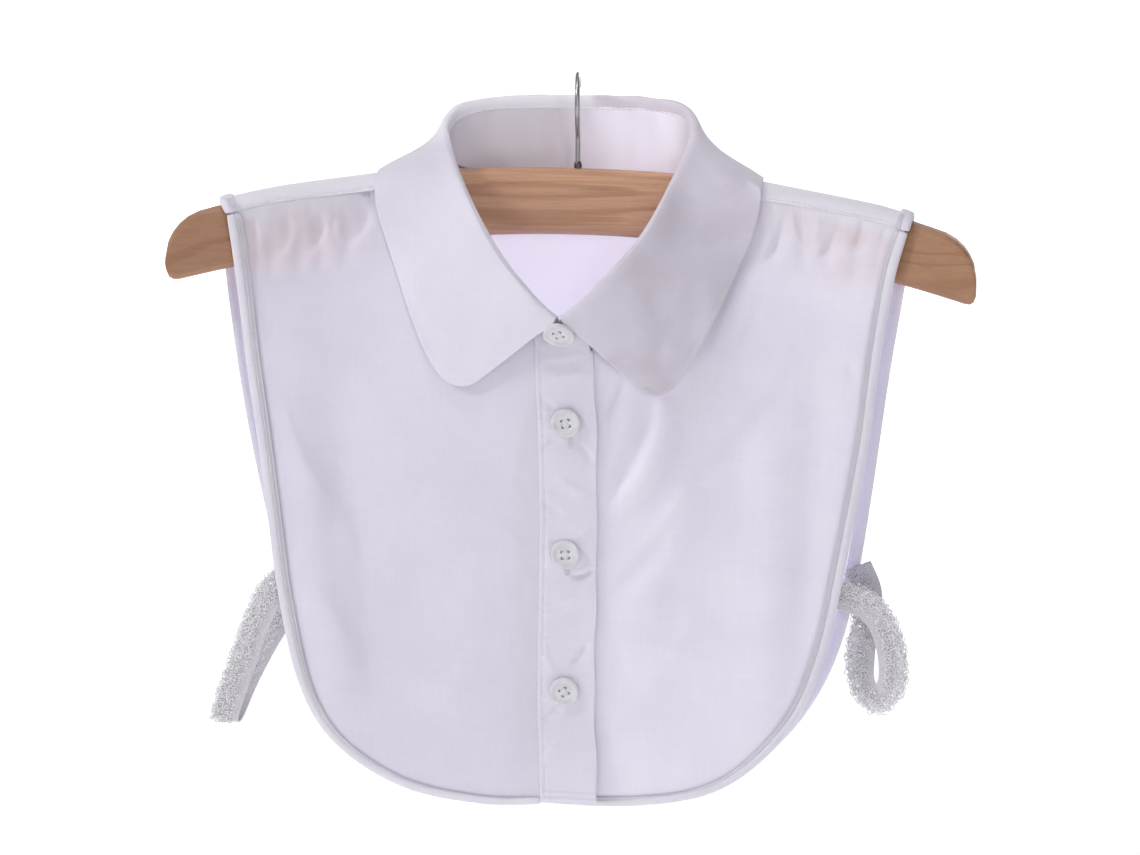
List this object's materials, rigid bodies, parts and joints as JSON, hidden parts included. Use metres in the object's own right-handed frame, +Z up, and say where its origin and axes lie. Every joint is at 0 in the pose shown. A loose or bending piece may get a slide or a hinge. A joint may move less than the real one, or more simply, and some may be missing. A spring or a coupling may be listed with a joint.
{
  "type": "detachable shirt collar on a wooden hanger",
  "caption": "Sleeveless white cotton shirt front and back with a buttoned placket, a pointed collar on a stand and elastic lace at the sides, hung on a wooden hanger.",
  "frame": {"origin": "inside of the hook's crown, where it bears on the rail that holds it", "axes": "+X to the viewer's right facing the buttons, which is the wearer's left; +Y to the back of the garment; +Z up"},
  "size_m": [0.38, 0.0962, 0.3497],
  "materials": {
    "cotton": "plain woven shirting, matt",
    "binding": "bias strip, topstitched, matt",
    "lace": "elastic lace, matt",
    "wood": "oiled light wood",
    "wire": "bright plated wire",
    "button": "satin white resin"
  },
  "bodies": {
    "root": {"back_panel": "cotton", "right_front": "cotton", "left_front": "cotton", "placket": "cotton", "collar_stand": "cotton", "collar_leaf": "cotton", "binding_right_front": "binding", "binding_left_front": "binding", "binding_back": "binding", "lace_right": "lace", "lace_left": "lace", "button_1": "button", "button_2": "button", "button_3": "button", "button_4": "button", "hanger_bar": "wood", "hanger_hook": "wire"}
  },
  "joints": []
}
